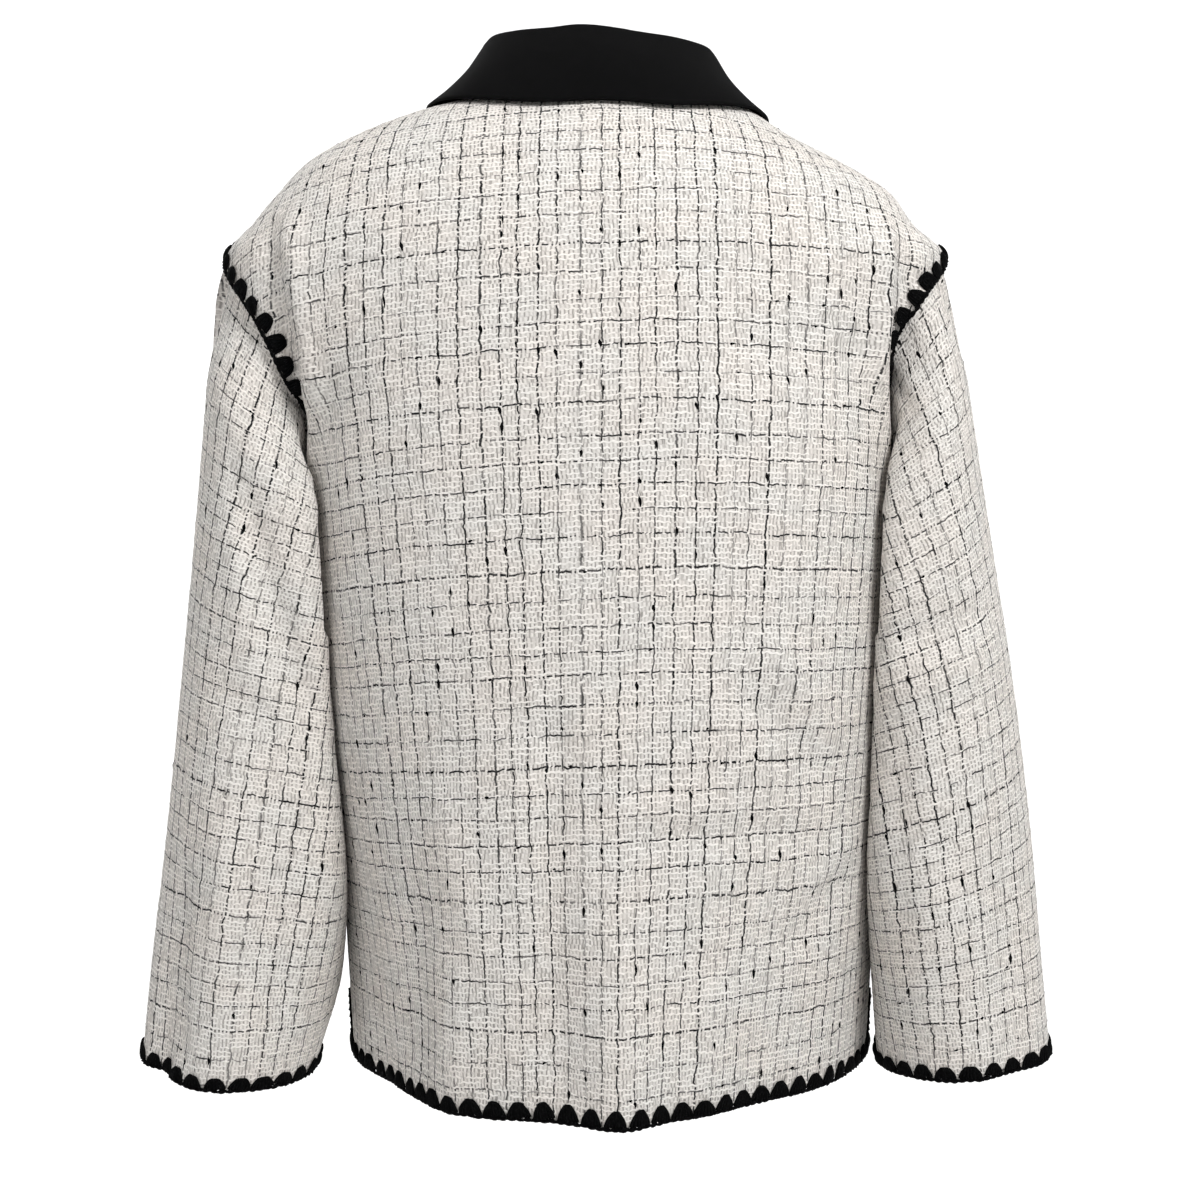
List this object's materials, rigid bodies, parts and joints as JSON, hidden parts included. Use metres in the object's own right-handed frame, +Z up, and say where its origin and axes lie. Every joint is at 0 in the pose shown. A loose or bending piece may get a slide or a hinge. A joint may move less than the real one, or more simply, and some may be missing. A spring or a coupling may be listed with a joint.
{
  "type": "cropped tweed jacket",
  "caption": "Boxy open-front tweed jacket in its worn shape, with dropped shoulders, long straight sleeves, a black turned-down collar and black scalloped edging.",
  "frame": {"origin": "middle of the neck opening, level with the neck ends of the shoulder seams, where the wearer's shoulders hold the jacket up", "axes": "+Z up along the back's length, -Y out of the open front, +X to the wearer's left"},
  "size_m": [0.6, 0.2829, 0.6835],
  "materials": {
    "tweed": "ivory boucle tweed with broken black window-pane yarns and slubs",
    "collar_cloth": "smooth black plain weave, matte",
    "edging_yarn": "black crocheted yarn, matte"
  },
  "bodies": {
    "root": {"back": "tweed", "front_left": "tweed", "front_right": "tweed", "sleeve_left": "tweed", "sleeve_right": "tweed", "collar": "collar_cloth", "edging_hem": "edging_yarn", "edging_cuff_left": "edging_yarn", "edging_cuff_right": "edging_yarn", "edging_armhole_left": "edging_yarn", "edging_armhole_right": "edging_yarn", "edging_front_left": "edging_yarn", "edging_front_right": "edging_yarn"}
  },
  "joints": []
}
